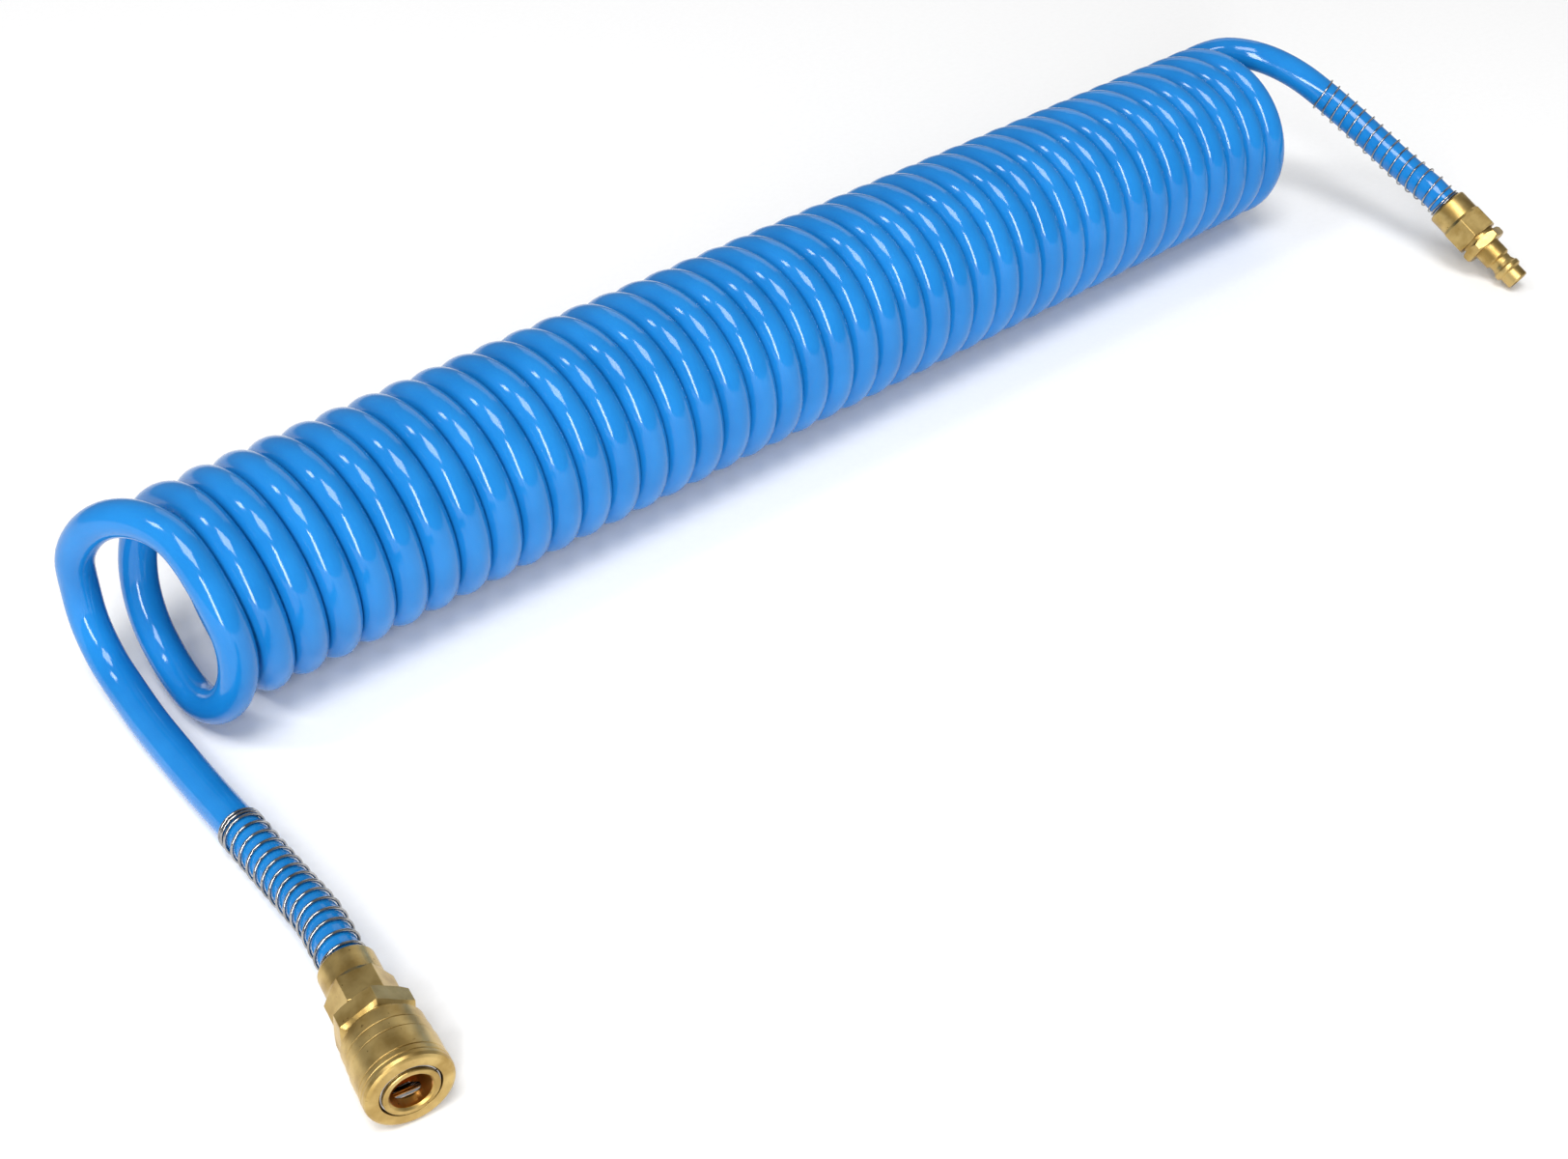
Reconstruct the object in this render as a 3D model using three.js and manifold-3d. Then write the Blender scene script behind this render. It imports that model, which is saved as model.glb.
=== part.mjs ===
// Coiled air hose with a quick coupler on one end and a male plug on the other.
// Millimetres, +Z up. The coil lies on the floor with its axis along X, the coupler end at -X.
import * as THREE from 'three';
import { mergeVertices } from 'three/addons/utils/BufferGeometryUtils.js';
import Module from 'manifold-3d';

const wasm = await Module();
wasm.setup();

// ---------------------------------------------------------------- driving dimensions
const GAP = 0.3; // between faces that touch on the real object
const SIDES = 32; // round parts
const CORD_SIDES = 10;

const HOSE_R = 6; // 12 x 8 mm tube
const HOSE_BORE_R = 4;
const COIL_R = 30.6; // centreline of the turns
const PITCH = 12.05; // touching turns
const TURNS = 41;
const AXIS_Z = COIL_R + HOSE_R; // the coil rests on the floor

// Coupler: stations run from the mouth (0) back to the hose.
const MOUTH = new THREE.Vector3(-36.9, -184.2, 12.5);
const COUPLER_TURN = THREE.MathUtils.degToRad(-11); // axis turned from +Y about Z
const COUPLER_NUT_AT = 28.5;
const SOCKET_R = 7.8;
const SOCKET_BORE_R = 5.8;
const CHAMBER_R = 6;
const SLEEVE_TRAVEL = 2.2;
const TAIL_FRONT_R = 9.9;
const TAIL_FRONT_AT = 17.4;
const COUPLER_HEX_AT = 21.9;
const COUPLER_HEX_CONE = 1.2; // length of the steep cone in front of the hexagon
const COUPLER_HEX_AF = 20.6;

// Locking pins: rollers in three slanted slots.
const PIN_R = 1.2;
const PIN_HALF = 4.5;
const PIN_AT = 5.2;
const PIN_LOCKED_R = 5.9;
const PIN_LIFT = 1.15; // outwards while the sleeve goes back by its travel
const PIN_ANGLES = [90, 210, 330].map(THREE.MathUtils.degToRad); // the first one is lowest

// Plug: stations run from the tip (0) back to the hose.
const TIP = new THREE.Vector3(530.6, -128.6, 4.1);
const PLUG_TURN = THREE.MathUtils.degToRad(4.5);
const PLUG_RISE = THREE.MathUtils.degToRad(28);
const PLUG_HEX_AT = 18.6;
const PLUG_HEX_LENGTH = 3.9;
const PLUG_HEX_AF = 16.2;
const PLUG_NUT_AT = 24;

// Compression nut and the screwed spigot that it clamps the hose on.
const NUT_AF = 17;
const NUT_HEX_LENGTH = 10;
const NUT_LENGTH = 18.6;
const COLLAR_R = 8.25;
const RECESS_R = 7.5; // holds the bend guard's first coils
const SPIGOT_R = 6.9;
const STEM_R = HOSE_BORE_R - GAP;
const STEM_LENGTH = 16;
const AIR_R = 3;
const HOSE_END_AT = 9.3;

// Bend guards: wire springs round the hose behind each nut.
const GUARD_LENGTH = 75;
const GUARD_START = -2.6; // inside the nut's recess
const COUPLER_GUARD = { radius: 6.7, wireR: 0.45, turns: 18 };
const PLUG_GUARD = { radius: 6.65, wireR: 0.35, turns: 16.5 };

// Turn of the snap ring's split and of each hexagon about its fitting's axis.
const RING_SPLIT_TURN = THREE.MathUtils.degToRad(-22.5);
const COUPLER_HEX_TURN = THREE.MathUtils.degToRad(4);
const COUPLER_NUT_TURN = THREE.MathUtils.degToRad(28);
const PLUG_HEX_TURN = THREE.MathUtils.degToRad(-10);
const PLUG_NUT_TURN = THREE.MathUtils.degToRad(6);

const BRASS = { color: 0xb6984f, roughness: 0.34, metalness: 1 };
const STEEL = { color: 0xc9c9c6, roughness: 0.2, metalness: 1 };
const BLUE = { color: 0x1f7fd6, roughness: 0.16, metalness: 0 };
const RUBBER = { color: 0x181818, roughness: 0.7, metalness: 0 };

// ---------------------------------------------------------------- shape helpers
function toSolid(geometry) {
  const plain = geometry.clone();
  plain.deleteAttribute('normal');
  plain.deleteAttribute('uv');
  const merged = mergeVertices(plain, 1e-4);
  return new wasm.Manifold(new wasm.Mesh({
    numProp: 3,
    vertProperties: new Float32Array(merged.attributes.position.array),
    triVerts: new Uint32Array(merged.index.array),
  }));
}

function toGeometry(solid) {
  const mesh = solid.getMesh();
  const geometry = new THREE.BufferGeometry();
  geometry.setAttribute('position', new THREE.BufferAttribute(new Float32Array(mesh.vertProperties), 3));
  geometry.setIndex(new THREE.BufferAttribute(new Uint32Array(mesh.triVerts), 1));
  geometry.computeVertexNormals();
  return geometry;
}

// Body of revolution about local Z. The [station, radius] pairs go once round the section of
// a ring, either way, and the outline closes on itself, so that the part keeps its bore.
function turned(profile, sides = SIDES) {
  const outline = profile.map(([station, radius]) => new THREE.Vector2(radius, station));
  if (THREE.ShapeUtils.area(outline) < 0) {
    outline.reverse();
  }
  outline.push(outline[0].clone());
  const geometry = new THREE.LatheGeometry(outline, sides);
  geometry.rotateX(Math.PI / 2);
  return toSolid(geometry);
}

// Hexagonal bar along local Z, with flats facing +-X before it is turned.
function hexagon(acrossFlats, from, length, turn) {
  const shape = new THREE.Shape();
  const cornerR = acrossFlats / Math.sqrt(3);
  for (let i = 0; i < 6; i += 1) {
    const angle = turn + Math.PI / 6 + (i * Math.PI) / 3;
    shape[i === 0 ? 'moveTo' : 'lineTo'](cornerR * Math.cos(angle), cornerR * Math.sin(angle));
  }
  const geometry = new THREE.ExtrudeGeometry(shape, { depth: length, bevelEnabled: false });
  geometry.translate(0, 0, from);
  return toSolid(geometry);
}

// A round wire or hose along a curve.
function tube(curve, radius, steps, sides) {
  const section = new THREE.Shape();
  for (let i = 0; i < sides; i += 1) {
    const angle = (i * 2 * Math.PI) / sides;
    section[i === 0 ? 'moveTo' : 'lineTo'](radius * Math.cos(angle), radius * Math.sin(angle));
  }
  return new THREE.ExtrudeGeometry(section, { steps, extrudePath: curve, bevelEnabled: false });
}

class Helix extends THREE.Curve {
  constructor(radius, from, length, turns) {
    super();
    Object.assign(this, { radius, from, length, turns });
  }

  getPoint(t, target = new THREE.Vector3()) {
    const angle = t * this.turns * 2 * Math.PI;
    const station = this.from + t * this.length;
    return target.set(this.radius * Math.cos(angle), this.radius * Math.sin(angle), station);
  }
}

function spring(radius, wireR, from, length, turns) {
  return tube(new Helix(radius, from, length, turns), wireR, Math.round(turns * 10), 5);
}

function named(name, geometry, look) {
  const mesh = new THREE.Mesh(geometry, new THREE.MeshStandardMaterial(look));
  mesh.name = name;
  return mesh;
}

// ---------------------------------------------------------------- coupler
function socketBody() {
  const threadR = TAIL_FRONT_R - 1.6;
  const rear = 23;
  let solid = turned([
    [0, 6.4], [0.6, SOCKET_BORE_R], [13.4, SOCKET_BORE_R], [13.4, 6.5], [15.8, 6.5], [15.8, CHAMBER_R],
    [rear, CHAMBER_R], [rear, threadR], [TAIL_FRONT_AT + 0.4, threadR], [TAIL_FRONT_AT + 0.4, SOCKET_R],
    [2.2, SOCKET_R], [2.2, 7.2], [1, 7.2], [1, SOCKET_R], [0.2, SOCKET_R], [0, SOCKET_R - 0.2],
  ]);
  for (const angle of PIN_ANGLES) {
    solid = solid.subtract(pinSlot(angle));
  }
  return toGeometry(solid);
}

// Slot outline in the plane of station and radius: the space that a pin sweeps, plus clearance.
function pinSlot(angle) {
  const clear = PIN_R + 0.35;
  const slope = Math.atan2(PIN_LIFT, SLEEVE_TRAVEL);
  const reach = 3; // past the pin's outer limit, so that the slot opens outwards
  const along = new THREE.Vector2(Math.cos(slope), Math.sin(slope));
  const start = new THREE.Vector2(PIN_AT, PIN_LOCKED_R);
  const end = start.clone().addScaledVector(along, Math.hypot(SLEEVE_TRAVEL, PIN_LIFT) + reach);
  const outline = new THREE.Shape();
  outline.absarc(start.x, start.y, clear, slope + Math.PI / 2, slope + 1.5 * Math.PI, false);
  outline.absarc(end.x, end.y, clear, slope - Math.PI / 2, slope + Math.PI / 2, false);
  const geometry = new THREE.ExtrudeGeometry(outline, {
    depth: 2 * (PIN_HALF + GAP), curveSegments: 6, bevelEnabled: false,
  });
  geometry.translate(0, 0, -PIN_HALF - GAP);
  geometry.applyMatrix4(stationRadiusFrame(angle));
  return toSolid(geometry);
}

// Turns local (station, radius, tangent) into the fitting's frame at an angle about its axis.
function stationRadiusFrame(angle) {
  const station = new THREE.Vector3(0, 0, 1);
  const radius = new THREE.Vector3(Math.cos(angle), Math.sin(angle), 0);
  return new THREE.Matrix4().makeBasis(station, radius, station.clone().cross(radius));
}

function lockingPin(angle) {
  const geometry = new THREE.CylinderGeometry(PIN_R, PIN_R, 2 * PIN_HALF, 12);
  geometry.rotateX(Math.PI / 2);
  geometry.translate(PIN_AT, PIN_LOCKED_R, 0);
  geometry.applyMatrix4(stationRadiusFrame(angle));
  return geometry;
}

function releaseSleeve() {
  return toGeometry(turned([
    [0.6, 8.6], [2.5, 8.6], [2.5, SOCKET_R + 0.35], [3.6, SOCKET_R + 0.35], [3.6, 9.7], [14.8, 9.7],
    [14.8, 11], [20.1, 11], [20.1, 11.4], [19.8, 11.7], [15.7, 11.7], [15.5, 11.95], [12, 11.95],
    [11.8, 12.2], [5.1, 12.2], [4.9, 12.4], [1.8, 12.4], [1, 12.1], [0.6, 11.3],
  ]));
}

function retainingRing() {
  const ring = turned([[1.3, 7.4], [1.9, 7.4], [2, 7.85], [1.9, 8.3], [1.3, 8.3], [1.2, 7.85]]);
  const split = new THREE.BoxGeometry(4, 1.6, 4);
  split.translate(SOCKET_R, 0, 1.6);
  split.rotateZ(RING_SPLIT_TURN);
  return toGeometry(ring.subtract(toSolid(split)));
}

function couplerTailBody() {
  const hexEnd = COUPLER_NUT_AT - GAP;
  const cornerR = COUPLER_HEX_AF / Math.sqrt(3);
  const chamfer = 0.9;
  const hex = hexagon(COUPLER_HEX_AF, COUPLER_HEX_AT, hexEnd - COUPLER_HEX_AT, COUPLER_HEX_TURN);
  const envelope = turned([
    [COUPLER_HEX_AT, CHAMBER_R], [27.6, CHAMBER_R], [27.6, AIR_R], [hexEnd, AIR_R],
    [hexEnd, cornerR - chamfer], [hexEnd - chamfer / 2, cornerR + 0.1],
    [COUPLER_HEX_AT + COUPLER_HEX_CONE, cornerR + 0.1], [COUPLER_HEX_AT, TAIL_FRONT_R],
  ]);
  const core = turned([
    [TAIL_FRONT_AT, 8.6], [24.7, 8.6], [24.7, CHAMBER_R], [27.6, CHAMBER_R], [27.6, AIR_R],
    [COUPLER_NUT_AT + STEM_LENGTH, AIR_R], [COUPLER_NUT_AT + STEM_LENGTH, STEM_R],
    [COUPLER_NUT_AT + 8.6, STEM_R], [COUPLER_NUT_AT + 8.6, SPIGOT_R], [COUPLER_NUT_AT - 1, SPIGOT_R],
    [COUPLER_NUT_AT - 1, TAIL_FRONT_R], [TAIL_FRONT_AT, TAIL_FRONT_R],
  ]);
  const bore = turned([[COUPLER_HEX_AT - 1, 2], [24.7, 2], [24.7, 8.6], [COUPLER_HEX_AT - 1, 8.6]]);
  return toGeometry(hex.intersect(envelope).subtract(bore).add(core));
}

function valvePoppet() {
  const profile = [
    [13.9, 0], [13.9, 3.1], [14.3, 3.5], [15.9, 3.5], [15.9, 5.3], [17.4, 5.3], [17.4, 1.6], [24, 1.6],
    [24, 0],
  ];
  const outline = profile.map(([station, radius]) => new THREE.Vector2(radius, station));
  const geometry = new THREE.LatheGeometry(outline, 24);
  geometry.rotateX(Math.PI / 2);
  return toGeometry(toSolid(geometry));
}

function plugSeal() {
  const outline = [[13.7, 4.9], [14.4, 4.4], [15.2, 4.4], [15.5, 4.9], [15.5, 6.2], [13.7, 6.2]];
  return toGeometry(turned(outline, 24));
}

function bodyORing() {
  return toGeometry(turned([[23.3, 7], [24.4, 7], [24.4, 8.3], [23.3, 8.3]], 24));
}

function thrustRing() {
  return toGeometry(turned([[6.8, SOCKET_R + 0.3], [7.7, SOCKET_R + 0.3], [7.7, 9.4], [6.8, 9.4]]));
}

function couplerParts() {
  const group = new THREE.Group();
  group.add(named('socket_body', socketBody(), BRASS));
  group.add(named('release_sleeve', releaseSleeve(), BRASS));
  group.add(named('retaining_ring', retainingRing(), STEEL));
  group.add(named('coupler_tail_body', couplerTailBody(), BRASS));
  group.add(named('thrust_ring', thrustRing(), STEEL));
  group.add(named('sleeve_spring', spring(8.75, 0.45, 8.5, 8.1, 4.5), STEEL));
  group.add(named('valve_poppet', valvePoppet(), BRASS));
  group.add(named('valve_spring', spring(4.6, 0.4, 18.5, 8.4, 5), STEEL));
  group.add(named('plug_seal', plugSeal(), RUBBER));
  group.add(named('body_o_ring', bodyORing(), RUBBER));
  PIN_ANGLES.forEach((angle, i) => {
    group.add(named(`locking_pin_${i + 1}`, lockingPin(angle), STEEL));
  });
  return group;
}

// ---------------------------------------------------------------- nut, hose end, plug
function compressionNut(at, turn) {
  const cornerR = NUT_AF / Math.sqrt(3);
  const hexEnd = at + NUT_HEX_LENGTH;
  const rear = at + NUT_LENGTH;
  const threadR = SPIGOT_R + GAP;
  const holeR = HOSE_R + GAP;
  const shoulder = at + 9;
  const recess = rear - 3.2;
  const hexEnvelope = turned([
    [at, 5], [hexEnd, 5], [hexEnd, cornerR - 0.7], [hexEnd - 0.6, cornerR + 0.1], [at + 1, cornerR + 0.1],
    [at, cornerR - 1.6],
  ]);
  const hex = hexagon(NUT_AF, at, NUT_HEX_LENGTH, turn);
  const collar = turned([
    [hexEnd - 1, 5], [rear, 5], [rear, 7.9], [rear - 0.5, COLLAR_R], [hexEnd - 1, COLLAR_R],
  ]);
  const hole = turned([
    [at - 1, threadR], [shoulder, threadR], [shoulder, holeR], [recess, holeR], [recess, RECESS_R],
    [rear + 1, RECESS_R], [rear + 1, 1], [at - 1, 1],
  ]);
  return toGeometry(hex.intersect(hexEnvelope).add(collar).subtract(hole));
}

function hoseEnd(at) {
  const from = at + HOSE_END_AT;
  const to = at + NUT_LENGTH + GAP;
  return toGeometry(turned([[from, HOSE_BORE_R], [to, HOSE_BORE_R], [to, HOSE_R], [from, HOSE_R]], 24));
}

function plugBody() {
  const hexFrom = PLUG_HEX_AT;
  const hexTo = PLUG_HEX_AT + PLUG_HEX_LENGTH;
  const cornerR = PLUG_HEX_AF / Math.sqrt(3);
  const envelope = turned([
    [hexFrom, AIR_R], [hexTo, AIR_R], [hexTo, cornerR - 0.9], [hexTo - 0.8, cornerR + 0.1],
    [hexFrom + 0.8, cornerR + 0.1], [hexFrom, cornerR - 0.9],
  ]);
  const nose = turned([
    [0, 3.4], [0.6, AIR_R], [PLUG_NUT_AT + STEM_LENGTH, AIR_R], [PLUG_NUT_AT + STEM_LENGTH, STEM_R],
    [PLUG_NUT_AT + 8.6, STEM_R], [PLUG_NUT_AT + 8.6, SPIGOT_R], [hexFrom + 1, SPIGOT_R], [hexFrom + 1, 5.4],
    [12.4, 5.4], [11.9, 5], [11.4, 4.45], [9.4, 4.4], [7.9, 5], [7.2, 5.6], [5.7, 5.6], [5.1, 4.9],
    [4.8, 4.5], [0.4, 4.5], [0, 4.2],
  ]);
  const hex = hexagon(PLUG_HEX_AF, hexFrom, PLUG_HEX_LENGTH, PLUG_HEX_TURN);
  return toGeometry(hex.intersect(envelope).add(nose));
}

// ---------------------------------------------------------------- where the fittings lie
function place(position, turn, rise) {
  const frame = new THREE.Group();
  frame.position.copy(position);
  frame.rotation.set(rise - Math.PI / 2, 0, turn, 'ZXY');
  frame.updateMatrixWorld();
  return frame;
}

const couplerPlace = place(MOUTH, COUPLER_TURN, 0);
const plugPlace = place(TIP, PLUG_TURN, PLUG_RISE);

// The hose leaves its nut straight along the fitting's axis.
function leavingNut(frame, nutAt) {
  const exit = nutAt + NUT_LENGTH + 2 * GAP;
  return [exit, exit + 4, exit + 8].map((station) => frame.localToWorld(new THREE.Vector3(0, 0, station)));
}

// ---------------------------------------------------------------- hose and bend guards
// From the coupler's nut along the floor, and up to the back of the coil's first turn.
const COUPLER_ROUTE = [
  [-24, -117, 11.3], [-23, -102, 9.2], [-22.3, -85, 7.7], [-21.8, -66, 7.3], [-21.3, -46, 6.2],
  [-20.7, -26, 6], [-19.9, -8, 6.1], [-19, 7, 8], [-18.8, 19, 13.4], [-18.4, 27.2, 22.8], [-17.6, 30.4, 34],
];
// From beside the coil's last turn down to the plug's nut.
const PLUG_ROUTE = [
  [498, 11.5, 64.8], [502, 4, 66], [507, -3, 64.9], [512.5, -10, 62], [518, -18, 57.4], [522.3, -27.5, 51.6],
  [525, -41, 44.9], [526.4, -56, 38.2], [527.2, -72, 31.6],
];

// The first turn is opened: it leans towards the coupler where it starts and again at its back,
// its top is lifted off the coil's line, and its underside stands forward. Angles are in degrees.
const START_LEAN = 15;
const BACK_LEAN = 9.2;
const TOP_LIFT = 2.2;
const FRONT_BULGE = 3.8;
const OPENED_FROM = -72;
const OPENED_TO = 272;

function openedTurn(degrees) {
  const { smoothstep } = THREE.MathUtils;
  const angle = THREE.MathUtils.degToRad(degrees);
  const startLean = START_LEAN * (1 - smoothstep(degrees, -80, 30));
  const backLean = BACK_LEAN * smoothstep(degrees, 75, 175) * (1 - smoothstep(degrees, 220, 360));
  const lift = TOP_LIFT * smoothstep(degrees, -90, -20) * (1 - smoothstep(degrees, 0, 120));
  const bulge = FRONT_BULGE * smoothstep(degrees, 20, 145) * (1 - smoothstep(degrees, 150, 280));
  return new THREE.Vector3(
    (PITCH * degrees) / 360 - startLean - backLean,
    -COIL_R * Math.sin(angle) - bulge,
    AXIS_Z + COIL_R * Math.cos(angle) + lift,
  );
}

function couplerTailCurve() {
  const points = leavingNut(couplerPlace, COUPLER_NUT_AT);
  COUPLER_ROUTE.forEach((point) => points.push(new THREE.Vector3(...point)));
  const count = 24;
  for (let i = 0; i <= count; i += 1) {
    points.push(openedTurn(THREE.MathUtils.lerp(OPENED_FROM, OPENED_TO, i / count)));
  }
  return new THREE.CatmullRomCurve3(points, false, 'centripetal');
}

function plugTailCurve() {
  const points = leavingNut(plugPlace, PLUG_NUT_AT);
  PLUG_ROUTE.toReversed().forEach((point) => points.push(new THREE.Vector3(...point)));
  return new THREE.CatmullRomCurve3(points, false, 'centripetal');
}

// Wire wound round the first stretch of a hose curve, starting inside the nut.
class WireRound extends THREE.Curve {
  constructor(hose, guard) {
    super();
    this.guard = guard;
    this.steps = 60;
    this.hose = hose;
    this.share = (GUARD_LENGTH + GUARD_START) / hose.getLength();
    const stretch = new THREE.CatmullRomCurve3(
      Array.from({ length: this.steps + 1 }, (_, i) => hose.getPointAt((this.share * i) / this.steps)),
    );
    this.frames = stretch.computeFrenetFrames(this.steps, false);
  }

  getPoint(t, target = new THREE.Vector3()) {
    const station = GUARD_START + t * GUARD_LENGTH;
    const along = Math.max(station, 0) / (GUARD_LENGTH + GUARD_START);
    const index = Math.min(Math.round(along * this.steps), this.steps);
    const angle = t * this.guard.turns * 2 * Math.PI;
    this.hose.getPointAt(along * this.share, target);
    target.addScaledVector(this.frames.tangents[index], Math.min(station, 0));
    target.addScaledVector(this.frames.normals[index], this.guard.radius * Math.cos(angle));
    return target.addScaledVector(this.frames.binormals[index], this.guard.radius * Math.sin(angle));
  }
}

function bendGuard(hose, guard) {
  const stepsPerTurn = 11;
  const sides = 4;
  return tube(new WireRound(hose, guard), guard.wireR, Math.round(guard.turns * stepsPerTurn), sides);
}

// The coil as one plain ring over the turns that touch each other.
function coilRing() {
  const sides = 48;
  const from = PITCH * 1.25 - HOSE_R + GAP;
  const to = PITCH * TURNS - HOSE_R / 2;
  const inner = COIL_R - HOSE_R;
  const outer = COIL_R + HOSE_R;
  const geometry = toGeometry(turned([[from, inner], [to, inner], [to, outer], [from, outer]], sides));
  geometry.rotateY(Math.PI / 2);
  geometry.translate(0, 0, AXIS_Z);
  return geometry;
}

function couplerAssembly() {
  couplerPlace.add(couplerParts());
  couplerPlace.add(named('coupler_nut', compressionNut(COUPLER_NUT_AT, COUPLER_NUT_TURN), BRASS));
  couplerPlace.add(named('hose_end_coupler', hoseEnd(COUPLER_NUT_AT), BLUE));
  return couplerPlace;
}

function plugAssembly() {
  plugPlace.add(named('plug_body', plugBody(), BRASS));
  plugPlace.add(named('plug_nut', compressionNut(PLUG_NUT_AT, PLUG_NUT_TURN), BRASS));
  plugPlace.add(named('hose_end_plug', hoseEnd(PLUG_NUT_AT), BLUE));
  return plugPlace;
}

function hoseAssembly() {
  const couplerTail = couplerTailCurve();
  const plugTail = plugTailCurve();
  const assembly = new THREE.Group();
  assembly.add(named('hose_coil', coilRing(), BLUE));
  assembly.add(named('hose_tail_coupler', tube(couplerTail, HOSE_R, 50, CORD_SIDES), BLUE));
  assembly.add(named('hose_tail_plug', tube(plugTail, HOSE_R, 16, CORD_SIDES), BLUE));
  assembly.add(named('coupler_bend_guard', bendGuard(couplerTail, COUPLER_GUARD), STEEL));
  assembly.add(named('plug_bend_guard', bendGuard(plugTail, PLUG_GUARD), STEEL));
  return assembly;
}

// ---------------------------------------------------------------- the whole part
// The origin is at the middle of the part's footprint, on the floor.
const whole = new THREE.Group();
whole.add(couplerAssembly(), plugAssembly(), hoseAssembly());
whole.updateMatrixWorld(true);
const bounds = new THREE.Box3().setFromObject(whole, true);
const middle = bounds.getCenter(new THREE.Vector3());
whole.position.set(-middle.x, -middle.y, -bounds.min.z);

const part = new THREE.Group();
part.add(whole);
export default part;
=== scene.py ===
"""Looks of the coiled air hose: fine meshes, materials, light and camera. Metres, in the row frame.

Fittings are turned parts. Their stations and radii are in millimetres along the fitting's own
axis, from its mouth or tip (0) back to the hose.
"""
import math

import bmesh
import bpy
from mathutils import Matrix, Vector


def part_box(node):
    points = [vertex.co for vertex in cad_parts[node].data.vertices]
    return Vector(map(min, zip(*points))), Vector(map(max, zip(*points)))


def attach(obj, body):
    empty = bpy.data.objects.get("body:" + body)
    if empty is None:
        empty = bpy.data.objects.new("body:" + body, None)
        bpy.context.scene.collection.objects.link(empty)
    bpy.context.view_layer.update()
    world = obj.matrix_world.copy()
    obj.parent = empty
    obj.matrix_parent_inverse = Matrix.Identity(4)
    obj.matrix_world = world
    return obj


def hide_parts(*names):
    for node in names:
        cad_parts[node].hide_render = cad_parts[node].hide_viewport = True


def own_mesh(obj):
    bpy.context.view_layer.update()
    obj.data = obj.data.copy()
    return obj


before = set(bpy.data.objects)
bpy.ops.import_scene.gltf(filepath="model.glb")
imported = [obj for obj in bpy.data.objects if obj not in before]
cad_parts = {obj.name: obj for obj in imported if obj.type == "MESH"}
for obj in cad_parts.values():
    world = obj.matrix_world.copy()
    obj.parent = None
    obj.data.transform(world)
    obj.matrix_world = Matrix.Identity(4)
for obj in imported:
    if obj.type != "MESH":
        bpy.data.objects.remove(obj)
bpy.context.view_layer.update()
MM = 0.001
BASE = "hose_assembly"

# ---------------------------------------------------------------- dimensions
RING_LOW, RING_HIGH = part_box("hose_coil")
GAP = 0.0003
HOSE_R = 0.006
COIL_R = (RING_HIGH.y - RING_LOW.y) / 2 - HOSE_R
PITCH = 0.01205
TURNS = 41
AXIS_Z = COIL_R + HOSE_R

# Under the coil's first top, on the floor: the routes are given from here.
COIL_START = Vector((RING_LOW.x - 1.25 * PITCH + HOSE_R - GAP, (RING_LOW.y + RING_HIGH.y) / 2, RING_LOW.z))

# From the coupler's nut along the floor, and up to the back of the coil's first turn.
COUPLER_ROUTE = [
    (-0.0240, -0.117, 0.0113), (-0.0230, -0.102, 0.0092), (-0.0223, -0.085, 0.0077),
    (-0.0218, -0.066, 0.0073), (-0.0213, -0.046, 0.0062), (-0.0207, -0.026, 0.0060),
    (-0.0199, -0.008, 0.0061), (-0.0190, 0.007, 0.0080), (-0.0188, 0.019, 0.0134),
    (-0.0184, 0.0272, 0.0228), (-0.0176, 0.0304, 0.0340),
]
# From beside the coil's last turn down to the plug's nut.
PLUG_ROUTE = [
    (0.4980, 0.0115, 0.0648), (0.5020, 0.0040, 0.0660), (0.5070, -0.0030, 0.0649),
    (0.5125, -0.0100, 0.0620), (0.5180, -0.0180, 0.0574), (0.5223, -0.0275, 0.0516),
    (0.5250, -0.0410, 0.0449), (0.5264, -0.0560, 0.0382), (0.5272, -0.0720, 0.0316),
]

# Fittings, in millimetres from the mouth or tip.
COUPLER_NUT_AT = 28.5
COUPLER_HEX_AT = 21.9
COUPLER_HEX_CONE = 1.2
COUPLER_HEX_AF = 20.6
COUPLER_HEX_TURN = 4
COUPLER_NUT_TURN = 28
PLUG_NUT_AT = 24
PLUG_NUT_TURN = 6
PLUG_HEX_AT = 18.6
PLUG_HEX_LENGTH = 3.9
PLUG_HEX_AF = 16.2
PLUG_HEX_TURN = -10
NUT_AF = 17
NUT_HEX_LENGTH = 10
NUT_LENGTH = 18.6
COLLAR_R = 8.25
RECESS_R = 7.5
HOSE_END_AT = 9.3
SOCKET_R = 7.8
BORE_R = 5.8
CHAMBER_R = 6
TAIL_FRONT_AT = 17.4
TAIL_FRONT_R = 9.9
SPIGOT_R = 6.9
STEM_R = 3.7
STEM_LENGTH = 16
AIR_R = 3

PIN_R = 1.2
PIN_HALF = 4.5
PIN_AT = 5.2
PIN_LOCKED_R = 5.9
PIN_LIFT = 1.15
SLEEVE_TRAVEL = 2.2
PIN_ANGLES = (90, 210, 330)
SLOT_CLEARANCE = 0.35
SLOT_RUN_ON = 3

RING_AT = 1.5
RING_R = 7.95
RING_SPLIT_AT = -22.5
RING_HALF_GAP = 5

# Springs inside the coupler: where each starts, and its length.
SLEEVE_SPRING_AT = 8.5
SLEEVE_SPRING_LENGTH = 8.1
VALVE_SPRING_AT = 18.5
VALVE_SPRING_LENGTH = 8.4

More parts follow.
